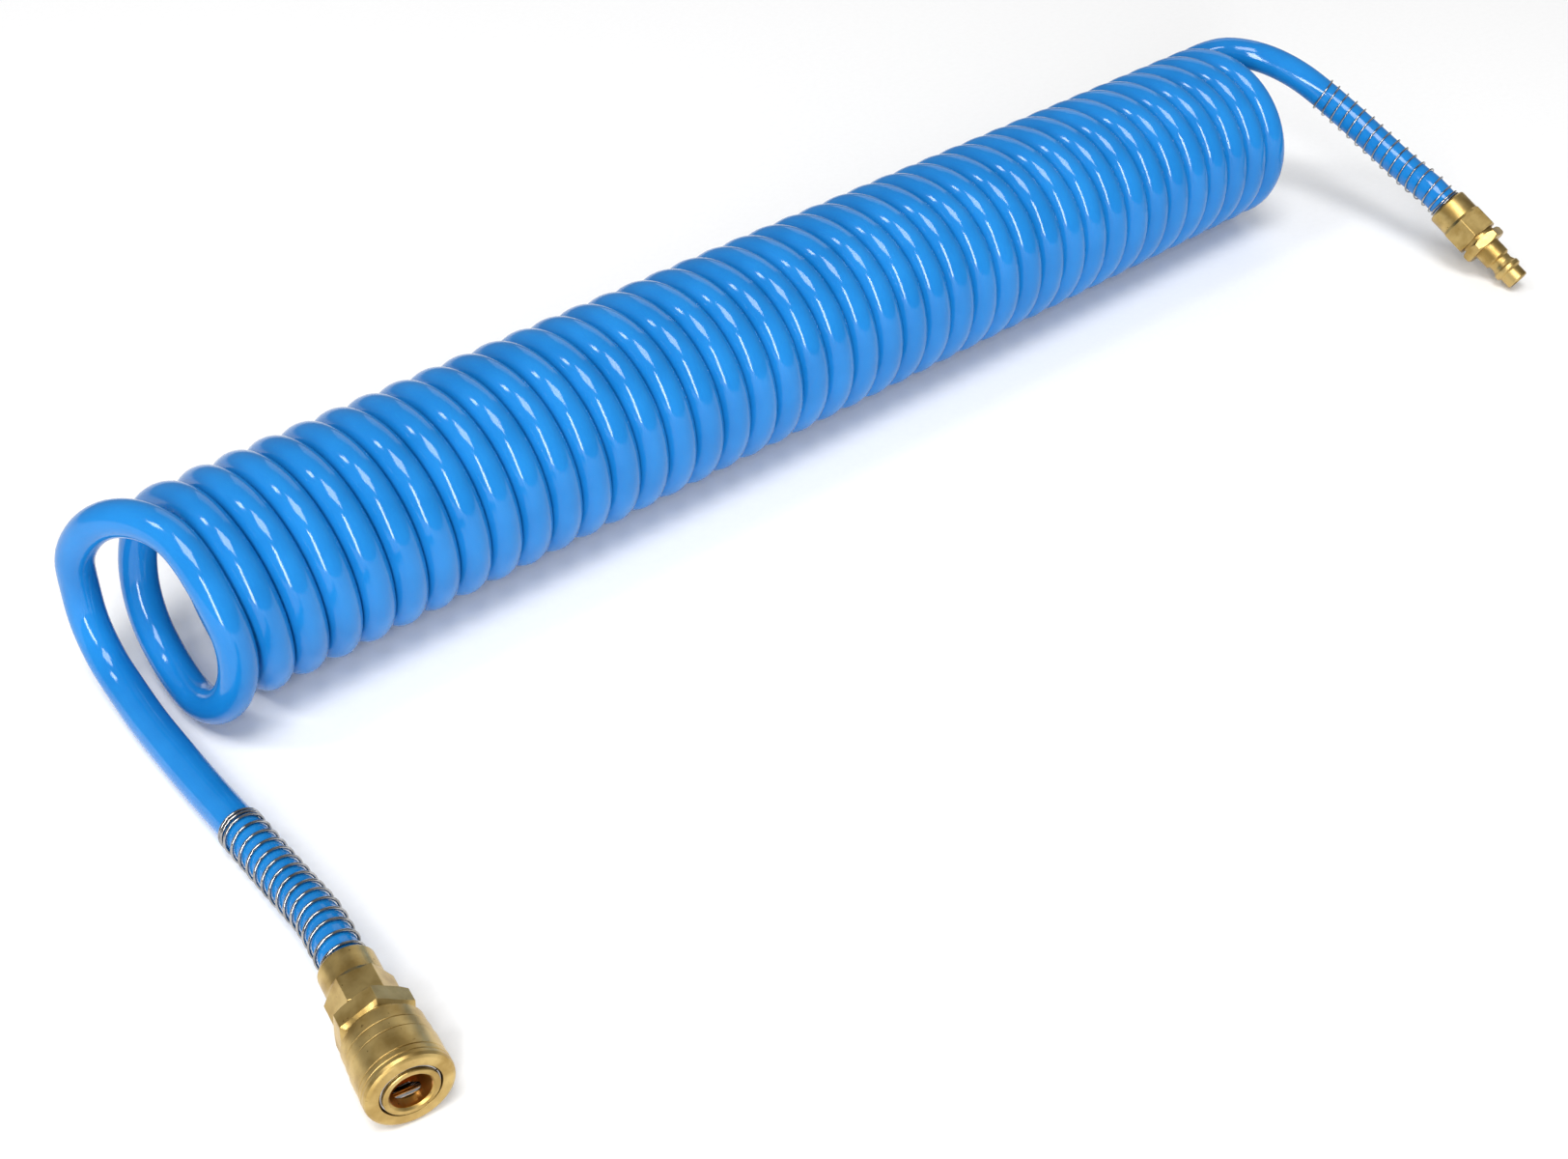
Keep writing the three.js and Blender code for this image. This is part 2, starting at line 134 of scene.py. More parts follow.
# The opened first turn, in metres. Each offset grows and fades between angles, in degrees from the first top.
OPENED_FROM = -72
START_LEAN = 0.0150
START_LEAN_FADES = (-80, 30)
BACK_LEAN = 0.0092
BACK_LEAN_GROWS = (75, 175)
BACK_LEAN_FADES = (220, 360)
TOP_LIFT = 0.0022
TOP_LIFT_GROWS = (-90, -20)
TOP_LIFT_FADES = (0, 120)
FRONT_BULGE = 0.0038
FRONT_BULGE_GROWS = (20, 145)
FRONT_BULGE_FADES = (150, 280)
LAST_TURN_SHORT_BY = 0.12
STEPS_PER_TURN = 24
HOSE_SPACING = 0.0027

# Wire round the hose, in metres: stretches of (turns, spacing) from the nut outwards.
GUARD_TUCK = 0.0012
COUPLER_GUARD_R = 0.00668
COUPLER_GUARD_WIRE_R = 0.00048
COUPLER_GUARD_TURNS = [(1.5, 0.0011), (14, 0.0047), (0.6, 0.0028), (2, 0.0012)]
PLUG_GUARD_R = 0.00662
PLUG_GUARD_WIRE_R = 0.00034
PLUG_GUARD_TURNS = [(3, 0.0010), (1, 0.0030), (13.5, 0.00485), (0.8, 0.0028)]
SNAP_RING_WIRE_R = 0.00052

CAMERA_AT = (-0.1794, -0.4931, 0.4399)
CAMERA_YAW = 40.72
CAMERA_PITCH = 38.70
CAMERA_LENS = 47.68
LIGHT_AIM = (0, 0, 0.03)
# Each softbox's position, width, height and power.
SOFTBOXES = {
    "softbox_front": ((-1.69, -1.79, 1.0), 0.45, 1.9, 52),
    "softbox_top": ((-0.70, -0.62, 2.42), 1.15, 1.15, 42),
    "softbox_back": ((-1.46, 0.65, 2.05), 0.35, 0.6, 10),
    "softbox_fill": ((1.7, 1.6, 1.3), 1.6, 1.6, 6),
}
WORLD_STRENGTH = 0.28
FLOOR_SIZE = 8
FLOOR_Z = -0.0002

# How finely hexagons are meshed and blended, in millimetres and degrees.
STATION_SLACK = 0.01
CONE_STEP = 0.15
HEXAGON_BLEND = 0.12
HEXAGON_REACH = 1.5
CORNER_SPREAD = 1.2
STEPS_PER_FLAT = 18


def fitting_frame(position, turn, rise):
    """Z runs back along the fitting's axis, X stays level, Y points down and forward."""
    return (
        Matrix.Translation(COIL_START + Vector(position))
        @ Matrix.Rotation(math.radians(turn), 4, "Z")
        @ Matrix.Rotation(math.radians(rise - 90), 4, "X")
    )


COUPLER = fitting_frame((-0.0369, -0.1842, 0.0125), -11, 0)
PLUG = fitting_frame((0.5306, -0.1286, 0.0041), 4.5, 28)


# ---------------------------------------------------------------- curves
def spline(points, spacing):
    """Centripetal Catmull-Rom curve through the points, sampled about every spacing."""
    ends = [2 * points[0] - points[1], *points, 2 * points[-1] - points[-2]]
    samples = [points[0]]
    for before, a, b, after in zip(ends, ends[1:], ends[2:], ends[3:]):
        t0 = math.sqrt((a - before).length)
        t1 = math.sqrt((b - a).length)
        t2 = math.sqrt((after - b).length)
        leave = ((a - before) / t0 - (b - before) / (t0 + t1) + (b - a) / t1) * t1
        arrive = ((b - a) / t1 - (after - a) / (t1 + t2) + (after - b) / t2) * t1
        steps = max(1, round((b - a).length / spacing))
        for i in range(1, steps + 1):
            t = i / steps
            samples.append(
                (2 * t**3 - 3 * t**2 + 1) * a + (t**3 - 2 * t**2 + t) * leave
                + (3 * t**2 - 2 * t**3) * b + (t**3 - t**2) * arrive
            )
    return samples


class Line:
    """A sampled line with a frame that doesn't twist, and its length along the way."""

    def __init__(self, points):
        self.points = points
        last = len(points) - 1
        self.tangents = [
            (points[min(i + 1, last)] - points[max(i - 1, 0)]).normalized() for i in range(last + 1)
        ]
        normal = self.tangents[0].orthogonal().normalized()
        self.normals = []
        for tangent in self.tangents:
            normal = (normal - normal.dot(tangent) * tangent).normalized()
            self.normals.append(normal)
        self.at = [0.0]
        for a, b in zip(points, points[1:]):
            self.at.append(self.at[-1] + (b - a).length)

    def length(self):
        return self.at[-1]

    def place(self, distance):
        """Point, tangent and normal at a distance along the line, or straight on before its start."""
        i = 0
        while i < len(self.at) - 2 and self.at[i + 1] < distance:
            i += 1
        share = (distance - self.at[i]) / (self.at[i + 1] - self.at[i])
        point = self.points[i].lerp(self.points[i + 1], share)
        tangent = self.tangents[i].lerp(self.tangents[i + 1], share).normalized()
        normal = self.normals[i].lerp(self.normals[i + 1], share)
        return point, tangent, (normal - normal.dot(tangent) * tangent).normalized()


def finish_mesh(name, mesh, material):
    obj = bpy.data.objects.new(name, mesh)
    bpy.context.scene.collection.objects.link(obj)
    mesh.materials.append(material)
    for face in mesh.polygons:
        face.use_smooth = True
    return obj


def sweep(name, line, radius, sides, material):
    """A round rod along a line, with rounded ends and a UV map: round it, and along it."""
    mesh_build = bmesh.new()
    uv = mesh_build.loops.layers.uv.new("UVMap")
    stations = [(i, 0.0, 1.0) for i in range(len(line.points))]
    rounding = [(math.sin(a), math.cos(a)) for a in (math.radians(d) for d in (25, 50, 75))]
    head = [(0, -out, scale) for out, scale in reversed(rounding)]
    tail = [(len(line.points) - 1, out, scale) for out, scale in rounding]
    rings = []
    for i, out, scale in [*head, *stations, *tail]:
        side = line.tangents[i].cross(line.normals[i])
        centre = line.points[i] + line.tangents[i] * out * radius
        ring = []
        for k in range(sides):
            angle = 2 * math.pi * k / sides
            spoke = math.cos(angle) * line.normals[i] + math.sin(angle) * side
            ring.append(mesh_build.verts.new(centre + spoke * radius * scale))
        rings.append((ring, line.at[i]))
    for (ring, start), (following, end) in zip(rings, rings[1:]):
        for k in range(sides):
            n = (k + 1) % sides
            face = mesh_build.faces.new((ring[k], ring[n], following[n], following[k]))
            corners = ((k, start), (k + 1, start), (k + 1, end), (k, end))
            for loop, (around, along) in zip(face.loops, corners):
                loop[uv].uv = (around / sides, along / (2 * math.pi * radius))
    mesh_build.faces.new(reversed(rings[0][0]))
    mesh_build.faces.new(rings[-1][0])
    mesh = bpy.data.meshes.new(name)
    mesh_build.to_mesh(mesh)
    mesh_build.free()
    return finish_mesh(name, mesh, material)


# ---------------------------------------------------------------- turned parts
def eased(outline, corner, closed):
    """The outline with its corners rounded. Corner is the radius of the real edge, in millimetres."""
    points = [Vector(p) for p in outline]
    count = len(points)
    result = []
    for i, point in enumerate(points):
        if not closed and i in (0, count - 1):
            result.append(point)
            continue
        back = points[i - 1] - point
        on = points[(i + 1) % count] - point
        bend = back.angle(on)
        if bend > math.radians(172):
            result.append(point)
            continue
        cut = min(corner / math.tan(bend / 2), 0.45 * back.length, 0.45 * on.length)
        a = point + back.normalized() * cut
        b = point + on.normalized() * cut
        for t in (0, 0.33, 0.67, 1):
            result.append((1 - t) ** 2 * a + 2 * t * (1 - t) * point + t * t * b)
    return result


def hexagon_radius(angle, across_flats, corner=0.35):
    """Distance from the middle to the side of a hexagon with rounded corners."""
    half = across_flats / 2
    off_flat = (angle + math.pi / 6) % (math.pi / 3) - math.pi / 6
    from_corner = math.pi / 6 - abs(off_flat)
    centre = (half - corner) / math.cos(math.pi / 6)
    tangent_angle = math.atan((half - corner) * math.tan(math.pi / 6) / half)
    if abs(off_flat) < tangent_angle:
        return half / math.cos(off_flat)
    reach = corner**2 - (centre * math.sin(from_corner)) ** 2
    return centre * math.cos(from_corner) + math.sqrt(max(reach, 0))


def soft_min(a, b, blend):
    """The smaller of two numbers, rounded off where they are within blend of each other."""
    share = min(max(0.5 + 0.5 * (b - a) / blend, 0), 1)
    return b + (a - b) * share - blend * share * (1 - share)


def hexagon_angles(turn):
    """Angles round a hexagonal part, closer together at its corners."""
    angles = []
    for i in range(6):
        corner = turn + math.radians(30 + 60 * i)
        angles += [corner + math.radians(CORNER_SPREAD * share) for share in (-1, -0.5, 0, 0.5, 1)]
        flat = 60 - 2 * CORNER_SPREAD
        angles += [
            corner + math.radians(CORNER_SPREAD + flat * k / STEPS_PER_FLAT) for k in range(1, STEPS_PER_FLAT)
        ]
    return angles


def refined(outline, low, high, closed):
    """Adds points on the slanted stretches between two stations, where a cone meets flats."""
    result = []
    count = len(outline)
    for i, point in enumerate(outline):
        result.append(point)
        if not closed and i == count - 1:
            break
        step = outline[(i + 1) % count] - point
        first, last = sorted((point.x, point.x + step.x))
        inside = low - STATION_SLACK <= first and last <= high + STATION_SLACK
        if inside and abs(step.x) > CONE_STEP and abs(step.y) > CONE_STEP:
            pieces = math.ceil(step.length / CONE_STEP)
            result += [point + step * k / pieces for k in range(1, pieces)]
    return result


def turned(name, place, outline, material, corner=0.12, hexagon=None, sides=96, closed=True):
    """A turned part from (station, radius) points. Hexagon is (from, to, across flats, turn in degrees).

    Its UV map runs round the part, and along the outline in centimetres.
    """
    points = eased(outline, corner, closed)
    angles = [2 * math.pi * k / sides for k in range(sides)]
    if hexagon:
        low, high, across_flats, turn = hexagon
        turn = math.radians(turn)
        points = refined(points, low, high, closed)
        angles = hexagon_angles(turn)
    mesh_build = bmesh.new()
    uv = mesh_build.loops.layers.uv.new("UVMap")
    rows = []
    along = [0.0]
    for point, after in zip(points, points[1:] + points[:1]):
        along.append(along[-1] + (after - point).length)
        row = []
        for angle in angles:
            radius = point.y
            on_hexagon = hexagon and low - STATION_SLACK <= point.x <= high + STATION_SLACK
            if on_hexagon and radius > across_flats / 2 - HEXAGON_REACH:
                radius = soft_min(radius, hexagon_radius(angle - turn, across_flats), HEXAGON_BLEND)
            spot = Vector((radius * math.cos(angle), radius * math.sin(angle), point.x))
            row.append(mesh_build.verts.new(place @ (spot * MM)))
        rows.append(row)
    following = rows[1:] + rows[:1] if closed else rows[1:]
    count = len(angles)
    for i, (row, after) in enumerate(zip(rows, following)):
        for k in range(count):
            n = (k + 1) % count
            face = mesh_build.faces.new((row[k], row[n], after[n], after[k]))
            corners = ((k, along[i]), (k + 1, along[i]), (k + 1, along[i + 1]), (k, along[i + 1]))
            for loop, (around, distance) in zip(face.loops, corners):
                loop[uv].uv = (around / count, distance / 10)
    bmesh.ops.remove_doubles(mesh_build, verts=mesh_build.verts, dist=1e-7)
    bmesh.ops.recalc_face_normals(mesh_build, faces=mesh_build.faces)
    mesh = bpy.data.meshes.new(name)
    mesh_build.to_mesh(mesh)
    mesh_build.free()
    obj = finish_mesh(name, mesh, material)
    even_normals(obj)
    return obj


def even_normals(obj):
    """Keeps large faces flat beside their rounded edges."""
    obj.data.set_sharp_from_angle(angle=math.radians(40))
    weighted = obj.modifiers.new("even_normals", "WEIGHTED_NORMAL")
    weighted.keep_sharp = True


# ---------------------------------------------------------------- material helpers
def new_material(name):
    material = bpy.data.materials.new(name)
    material.use_nodes = True
    return material, material.node_tree, material.node_tree.nodes["Principled BSDF"]


def add_node(tree, kind, inputs=(), **settings):
    node = tree.nodes.new(kind)
    for key, value in settings.items():
        setattr(node, key, value)
    for key, value in dict(inputs).items():
        if isinstance(value, bpy.types.NodeSocket):
            tree.links.new(value, node.inputs[key])
        else:
            node.inputs[key].default_value = value
    return node


def ramp(tree, factor, low, high):
    """A colour ramp between two (position, colour) stops."""
    node = add_node(tree, "ShaderNodeValToRGB", {0: factor})
    for element, (position, color) in zip(node.color_ramp.elements, (low, high)):
        element.position = position
        element.color = (*color, 1)
    return node.outputs[0]


def noise(tree, vector, scale, detail=3.0):
    node = add_node(tree, "ShaderNodeTexNoise", {"Vector": vector, "Scale": scale, "Detail": detail})
    return node.outputs["Fac"]


def mapped(tree, vector, scale):
    return add_node(tree, "ShaderNodeMapping", {"Vector": vector, "Scale": scale}).outputs[0]


def math_node(tree, operation, a, b):
    return add_node(tree, "ShaderNodeMath", {0: a, 1: b}, operation=operation).outputs[0]


def bump(tree, height, strength, distance):
    node = add_node(tree, "ShaderNodeBump", {"Height": height, "Strength": strength, "Distance": distance})
    return node.outputs[0]


def mix_color(tree, factor, a, b):
    """Mixes two colours. Inputs 0, 6 and 7 of the node are its factor and its two colours."""
    node = tree.nodes.new("ShaderNodeMix")
    node.data_type = "RGBA"
    for index, value in ((0, factor), (6, a), (7, b)):
        if isinstance(value, bpy.types.NodeSocket):
            tree.links.new(value, node.inputs[index])
        else:
            node.inputs[index].default_value = value if index == 0 else (*value, 1)
    return node.outputs[2]


# ---------------------------------------------------------------- materials
def hose_material():
    """Blue polyurethane: glossy, a little cloudy, with faint lines drawn along the tube."""
    material, tree, shader = new_material("blue_polyurethane")
    uv = add_node(tree, "ShaderNodeTexCoord").outputs["UV"]
    place = add_node(tree, "ShaderNodeTexCoord").outputs["Object"]
    cloud = noise(tree, place, 45, 2)
    lines = noise(tree, mapped(tree, uv, (26, 0.35, 1)), 4, 4)
    scuffs = noise(tree, place, 900, 5)
    tint = ramp(tree, cloud, (0.35, (0.007, 0.172, 0.49)), (0.65, (0.011, 0.200, 0.55)))
    dusty = ramp(tree, scuffs, (0.66, (0, 0, 0)), (0.74, (1, 1, 1)))
    color = mix_color(tree, math_node(tree, "MULTIPLY", dusty, 0.12), tint, (0.06, 0.25, 0.56))
    tree.links.new(color, shader.inputs["Base Color"])
    rough = ramp(tree, lines, (0.3, (0.08,) * 3), (0.7, (0.12,) * 3))
    tree.links.new(rough, shader.inputs["Roughness"])
    tree.links.new(bump(tree, lines, 0.04, 0.0002), shader.inputs["Normal"])
    shader.inputs["IOR"].default_value = 1.5
    shader.inputs["Specular IOR Level"].default_value = 0.4
    shader.inputs["Subsurface Weight"].default_value = 0.12
    shader.inputs["Subsurface Radius"].default_value = (0.2, 0.6, 1.0)
    shader.inputs["Subsurface Scale"].default_value = 0.003
    return material


def brass_material(name, lathe_lines, painted_bounce_light=False):
    """Machined brass: turning lines along the axis or fine grain on milled flats, and small stains. The
    brighter, more orange colours for a bore are painted bounce light, standing in for light inside it.
    """
    material, tree, shader = new_material(name)
    place = add_node(tree, "ShaderNodeTexCoord").outputs["Object"]
    uv = add_node(tree, "ShaderNodeTexCoord").outputs["UV"]
    turning = noise(tree, mapped(tree, uv, (2.5, 55, 1)), 1, 3)
    grain = noise(tree, place, 3200, 4)
    patches = noise(tree, place, 130, 4)
    stains = noise(tree, place, 620, 2)
    # The first colour in each of these two pairs is painted bounce light: a brighter, more saturated orange
    # brass standing in for light bouncing inside the bore.
    light = (0.80, 0.40, 0.07) if painted_bounce_light else (0.595, 0.43, 0.165)
    deep = (0.60, 0.26, 0.04) if painted_bounce_light else (0.39, 0.255, 0.078)
    tint = ramp(tree, patches, (0.36, deep), (0.62, light))
    spots = ramp(tree, stains, (0.70, (0, 0, 0)), (0.76, (1, 1, 1)))
    color = mix_color(tree, math_node(tree, "MULTIPLY", spots, 0.7), tint, (0.12, 0.065, 0.02))
    tree.links.new(color, shader.inputs["Base Color"])
    worked = math_node(tree, "ADD", math_node(tree, "MULTIPLY", turning, lathe_lines), grain)
    rough = ramp(tree, math_node(tree, "MULTIPLY", worked, 1 / (1 + lathe_lines)),
                 (0.3, (0.30,) * 3), (0.7, (0.46,) * 3))
    tree.links.new(rough, shader.inputs["Roughness"])
    tree.links.new(bump(tree, worked, 0.25, 0.00004), shader.inputs["Normal"])
    shader.inputs["Metallic"].default_value = 1
    return material


def steel_material(name, roughness, tone):
    """Bright drawn steel with fine lines and a little dirt."""
    material, tree, shader = new_material(name)
    place = add_node(tree, "ShaderNodeTexCoord").outputs["Object"]
    grain = noise(tree, place, 1500, 3)
    dirt = noise(tree, place, 260, 3)
    tint = ramp(tree, dirt, (0.35, tuple(0.6 * c for c in tone)), (0.6, tone))
    tree.links.new(tint, shader.inputs["Base Color"])
    rough = ramp(tree, grain, (0.3, (roughness * 0.75,) * 3), (0.7, (roughness * 1.3,) * 3))
    tree.links.new(rough, shader.inputs["Roughness"])
    tree.links.new(bump(tree, grain, 0.15, 0.00003), shader.inputs["Normal"])
    shader.inputs["Metallic"].default_value = 1
    return material


def rubber_material():
    """Black nitrile rubber with a dull, dusty skin."""
    material, tree, shader = new_material("black_rubber")
    place = add_node(tree, "ShaderNodeTexCoord").outputs["Object"]
    dust = noise(tree, place, 1800, 4)
    tree.links.new(ramp(tree, dust, (0.4, (0.012,) * 3), (0.8, (0.05,) * 3)), shader.inputs["Base Color"])
    tree.links.new(ramp(tree, dust, (0.3, (0.5,) * 3), (0.7, (0.75,) * 3)), shader.inputs["Roughness"])
    tree.links.new(bump(tree, dust, 0.3, 0.00005), shader.inputs["Normal"])
    return material


BLUE = hose_material()
TURNED_BRASS = brass_material("turned_brass", 2.0)
MILLED_BRASS = brass_material("milled_brass", 0.4)
# Painted bounce light: a brighter, more orange brass for the bore and the valve disc, where little light
# reaches.
INNER_BRASS_PAINTED_LIGHT = brass_material("inner_brass_painted_light", 2.0, painted_bounce_light=True)
WIRE = steel_material("spring_wire", 0.09, (0.42, 0.41, 0.40))
PIN_STEEL = steel_material("pin_steel", 0.1, (0.85, 0.84, 0.82))
RUBBER = rubber_material()


# ---------------------------------------------------------------- camera, light and floor
def look(forward):
    """Level camera that looks along forward."""
    forward = forward.normalized()
    right = forward.cross(Vector((0, 0, 1))).normalized()
    up = right.cross(forward)
    return Matrix((right, up, -forward)).transposed().to_4x4()


def add_camera():
    yaw = math.radians(CAMERA_YAW)
    pitch = math.radians(CAMERA_PITCH)
    forward = Vector((math.sin(yaw) * math.cos(pitch), math.cos(yaw) * math.cos(pitch), -math.sin(pitch)))
    data = bpy.data.cameras.new("camera")
    data.sensor_width = 36
    data.lens = CAMERA_LENS
    camera = bpy.data.objects.new("camera", data)
    bpy.context.scene.collection.objects.link(camera)
    camera.matrix_world = Matrix.Translation(COIL_START + Vector(CAMERA_AT)) @ look(forward)
    bpy.context.scene.camera = camera


def add_softbox(name, position, width, height, power):
    data = bpy.data.lights.new(name, "AREA")
    data.shape = "RECTANGLE"
    data.size = width
    data.size_y = height
    data.energy = power
    light = bpy.data.objects.new(name, data)
    bpy.context.scene.collection.objects.link(light)
    light.matrix_world = Matrix.Translation(position) @ look(Vector(LIGHT_AIM) - Vector(position))


def add_world():
    world = bpy.data.worlds.new("studio")
    bpy.context.scene.world = world
    world.use_nodes = True
    world.node_tree.nodes["Background"].inputs["Color"].default_value = (1, 1, 1, 1)
    world.node_tree.nodes["Background"].inputs["Strength"].default_value = WORLD_STRENGTH
    bpy.context.scene.view_settings.view_transform = "Standard"


def add_floor():
    bpy.ops.mesh.primitive_plane_add(size=FLOOR_SIZE, location=(0, 0, FLOOR_Z))
    floor = bpy.context.object
    floor.name = "floor"
    material, tree, shader = new_material("white_paper")
    place = add_node(tree, "ShaderNodeTexCoord").outputs["Object"]
    fibre = noise(tree, place, 400, 4)
    tree.links.new(ramp(tree, fibre, (0.3, (0.93,) * 3), (0.7, (0.95,) * 3)), shader.inputs["Base Color"])
    shader.inputs["Roughness"].default_value = 0.9
    floor.data.materials.append(material)


# ---------------------------------------------------------------- the hose and what rides on it
def smoothstep(value, low, high):
    share = min(max((value - low) / (high - low), 0), 1)
    return share * share * (3 - 2 * share)


def coil_point(degrees):
    """A point of the coil, in degrees from its first top.

    The first turn is opened: it leans towards the coupler, its top is lifted, and its front stands out.
    """
    angle = math.radians(degrees)
    start_lean = START_LEAN * (1 - smoothstep(degrees, *START_LEAN_FADES))
    back_lean = (
        BACK_LEAN * smoothstep(degrees, *BACK_LEAN_GROWS) * (1 - smoothstep(degrees, *BACK_LEAN_FADES))
    )
    lift = TOP_LIFT * smoothstep(degrees, *TOP_LIFT_GROWS) * (1 - smoothstep(degrees, *TOP_LIFT_FADES))
    bulge = (
        FRONT_BULGE * smoothstep(degrees, *FRONT_BULGE_GROWS) * (1 - smoothstep(degrees, *FRONT_BULGE_FADES))
    )
    return COIL_START + Vector((
        PITCH * degrees / 360 - start_lean - back_lean,
        -COIL_R * math.sin(angle) - bulge,
        AXIS_Z + COIL_R * math.cos(angle) + lift,
    ))


def in_fitting(place, nut_at):
    """Points of the hose's straight end, from inside the nut to just outside it."""
    rear = nut_at + NUT_LENGTH + 0.6
    stations = (nut_at + HOSE_END_AT, nut_at + 14, rear, rear + 4, rear + 8)
    return [place @ Vector((0, 0, station * MM)) for station in stations]


def hose_line():
    points = in_fitting(COUPLER, COUPLER_NUT_AT)
    points += [COIL_START + Vector(p) for p in COUPLER_ROUTE]
    last = (TURNS - LAST_TURN_SHORT_BY) * 360
    count = round((last - OPENED_FROM) / 360 * STEPS_PER_TURN)
    points += [coil_point(OPENED_FROM + (last - OPENED_FROM) * i / count) for i in range(count + 1)]
    points += [COIL_START + Vector(p) for p in PLUG_ROUTE]
    points += reversed(in_fitting(PLUG, PLUG_NUT_AT))
    return Line(spline(points, HOSE_SPACING))


def bend_guard_line(hose, start, turns, radius):
    """Middle of a guard's wire round the hose, from a start inside the nut outwards."""
    samples = []
    angle = 0.0
    distance = start
    steps = 28
    for count, spacing in turns:
        for _ in range(round(count * steps)):
            samples.append((distance, angle))
            distance += spacing / steps
            angle += 2 * math.pi / steps
    points = []
    for distance, angle in samples:
        centre, tangent, normal = hose.place(distance)
        side = tangent.cross(normal)
        points.append(centre + radius * (math.cos(angle) * normal + math.sin(angle) * side))
    return Line(points)


def bend_guards(hose):
    """Each guard is wound outwards from its own nut, so the plug's follows the hose run backwards."""
    backwards = Line(list(reversed(hose.points)))
    start = (NUT_LENGTH - HOSE_END_AT) * MM - GUARD_TUCK
    near = bend_guard_line(hose, start, COUPLER_GUARD_TURNS, COUPLER_GUARD_R)
    far = bend_guard_line(backwards, start, PLUG_GUARD_TURNS, PLUG_GUARD_R)
    pieces = [
        sweep("coupler_guard_wire", near, COUPLER_GUARD_WIRE_R, 14, WIRE),
        sweep("plug_guard_wire", far, PLUG_GUARD_WIRE_R, 12, WIRE),
    ]
    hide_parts("coupler_bend_guard")
    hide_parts("plug_bend_guard")
    return pieces


# ---------------------------------------------------------------- fittings
def nut(name, place, at, turn, node):
    hex_end = at + NUT_HEX_LENGTH
    rear = at + NUT_LENGTH
    corner_r = NUT_AF / math.sqrt(3)
    recess = rear - 3.2
    hose_hole_r = 6.3
    thread_end = at + 9
    thread_r = SPIGOT_R + 0.3
    outline = [
        (at, thread_r), (at, corner_r - 1.2), (at + 0.75, corner_r + 0.15),
        (hex_end - 0.85, corner_r + 0.15), (hex_end + 0.35, COLLAR_R), (rear - 0.6, COLLAR_R),
        (rear, COLLAR_R - 0.35), (rear, RECESS_R), (recess, RECESS_R), (recess, hose_hole_r),
        (thread_end, hose_hole_r), (thread_end, thread_r),
    ]
    obj = turned(name, place, outline, MILLED_BRASS, 0.12, (at - 0.1, hex_end + 0.3, NUT_AF, turn))
    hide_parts(node)
    return obj


def stem(at):
    """Barbed stem inside the hose, from its tip back to the spigot's shoulder."""
    tip = at + STEM_LENGTH
    outline = [(tip, AIR_R), (tip, AIR_R + 0.3)]
    for k in range(3):
        back = tip - 0.2 - 2.3 * k
        outline += [(back - 1.7, STEM_R), (back - 1.9, STEM_R - 0.35)]
    return outline + [(at + 8.6, STEM_R - 0.35), (at + 8.6, SPIGOT_R - 0.3), (at + 8.3, SPIGOT_R)]


def coupler_tail_body():
    hex_end = COUPLER_NUT_AT - 0.3
    corner_r = COUPLER_HEX_AF / math.sqrt(3)
    thread_r = 8.6
    thread_end = 24.7
    chamber_end = 27.6
    outline = [
        (TAIL_FRONT_AT, thread_r), (thread_end, thread_r), (thread_end, CHAMBER_R),
        (chamber_end, CHAMBER_R), (chamber_end, AIR_R), *stem(COUPLER_NUT_AT),
        (hex_end, SPIGOT_R), (hex_end, corner_r - 1.0), (hex_end - 0.55, corner_r + 0.1),
        (COUPLER_HEX_AT + COUPLER_HEX_CONE, corner_r + 0.1), (COUPLER_HEX_AT, TAIL_FRONT_R),
        (TAIL_FRONT_AT, TAIL_FRONT_R),
    ]
    hexagon = (COUPLER_HEX_AT + 0.05, hex_end + 0.1, COUPLER_HEX_AF, COUPLER_HEX_TURN)
    obj = turned("coupler_tail_hexagon", COUPLER, outline, MILLED_BRASS, 0.12, hexagon)
    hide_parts("coupler_tail_body")
    return obj


def release_sleeve():
    inner = [
        (0.6, 8.6), (2.5, 8.6), (2.5, 8.15), (3.6, 8.15), (3.6, 9.7), (14.8, 9.7), (14.8, 11), (20.1, 11),
    ]
    rear_steps = [
        (20.1, 11.4), (19.8, 11.7), (15.9, 11.7), (15.75, 11.45), (15.55, 11.45), (15.4, 11.95),
        (12.2, 11.95), (12.05, 11.65), (11.85, 11.65), (11.7, 12.25),
    ]
    front_grooves = [
        (5.25, 12.25), (5.1, 11.95), (4.9, 11.95), (4.75, 12.4), (3.3, 12.4), (3.2, 12.2), (3.0, 12.2),
        (2.9, 12.4), (1.9, 12.4), (1.05, 12.1), (0.6, 11.3),
    ]
    outline = inner + rear_steps + front_grooves
    obj = turned("sleeve_turned", COUPLER, outline, TURNED_BRASS, 0.1, sides=128)
    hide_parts("release_sleeve")
    return obj


def in_slot_plane(angle, station, radius, across):
    """A point in metres, from a station, radius and offset across in millimetres, at an angle in degrees."""
    angle = math.radians(angle)
    out = Vector((math.cos(angle), math.sin(angle), 0))
    along = Vector((0, 0, 1))
    return (station * along + radius * out + across * along.cross(out)) * MM


